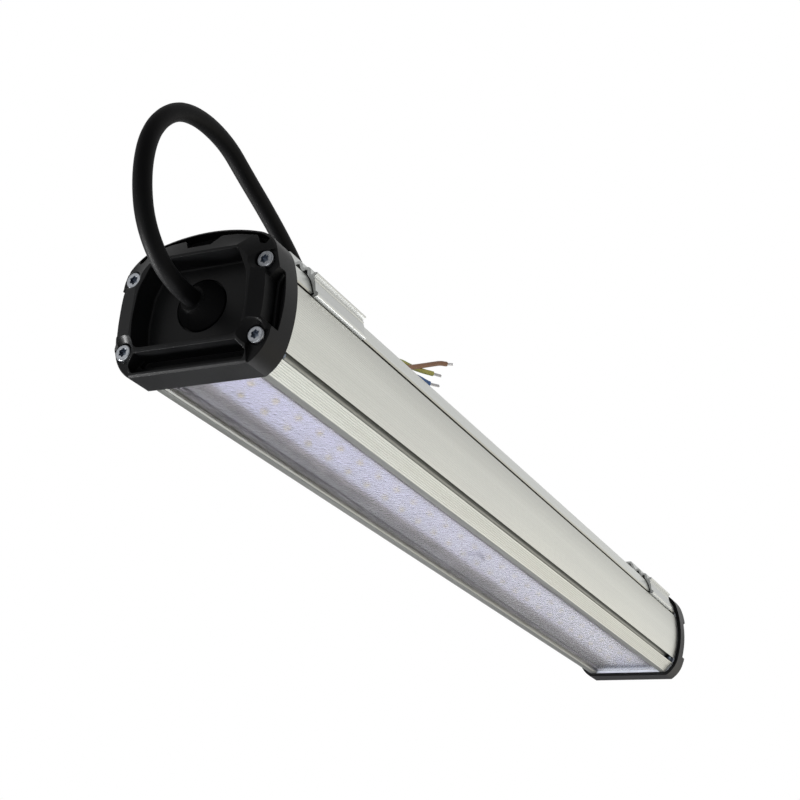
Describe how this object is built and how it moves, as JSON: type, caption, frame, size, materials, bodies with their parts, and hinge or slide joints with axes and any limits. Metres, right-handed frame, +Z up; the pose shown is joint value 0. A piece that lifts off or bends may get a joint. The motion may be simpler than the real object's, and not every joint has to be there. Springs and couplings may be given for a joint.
{
  "type": "led linear light",
  "caption": "Slim sealed LED linear light: ribbed aluminium housing, patterned clear lens below, moulded black end caps, sprung ceiling clips and a looped supply cable with bare cores.",
  "frame": {"origin": "middle of the footprint, on the plane of the flat undersides of the end caps", "axes": "+X along the light, away from the cable end; +Y to the left seen from the cable end; +Z up, towards the ceiling it is fixed to"},
  "size_m": [0.6189, 0.0746, 0.1089],
  "materials": {
    "anodised": "satin anodised",
    "clip": "satin, mill finish",
    "lens": "clear with a pebbled pattern",
    "seal": "light grey silicone",
    "gasket": "white silicone",
    "board": "white solder mask",
    "led": "phosphor window in a white package",
    "white_plastic": "moulded",
    "cap": "fine matte moulding texture",
    "screw": "zinc plated",
    "cable": "matte",
    "core_green": "green and yellow insulation",
    "core_brown": "insulation",
    "core_blue": "insulation",
    "lead_red": "insulation",
    "conductor": "tinned copper strand",
    "driver": "moulded"
  },
  "bodies": {
    "root": {"housing_profile": "anodised", "diffuser_lens": "lens", "lens_seal_left": "seal", "lens_seal_right": "seal", "led_board_front": "board", "led_board_rear": "board", "leds_front": "led", "leds_rear": "led", "board_link": "white_plastic", "led_connector": "white_plastic", "front_end_cap": "cap", "rear_end_cap": "cap", "front_gasket": "gasket", "rear_gasket": "gasket", "front_cap_screws": "screw", "rear_cap_screws": "screw", "mounting_clip_front": "clip", "mounting_clip_rear": "clip", "cable_strain_relief": "cable", "gland_nut": "cap", "power_cable": "cable", "core_green_yellow": "core_green", "core_brown": "core_brown", "core_blue": "core_blue", "conductor_tips": "conductor", "cable_tail": "cable", "terminal_block": "white_plastic", "lead_live": "core_brown", "lead_neutral": "core_blue", "lead_earth": "core_green", "driver_lead_live": "core_brown", "driver_lead_neutral": "core_blue", "earth_link": "core_green", "earth_lug": "conductor", "earth_screw": "screw", "led_driver": "driver", "driver_screws": "screw", "output_lead_red": "lead_red", "output_lead_black": "cable"}
  },
  "joints": []
}
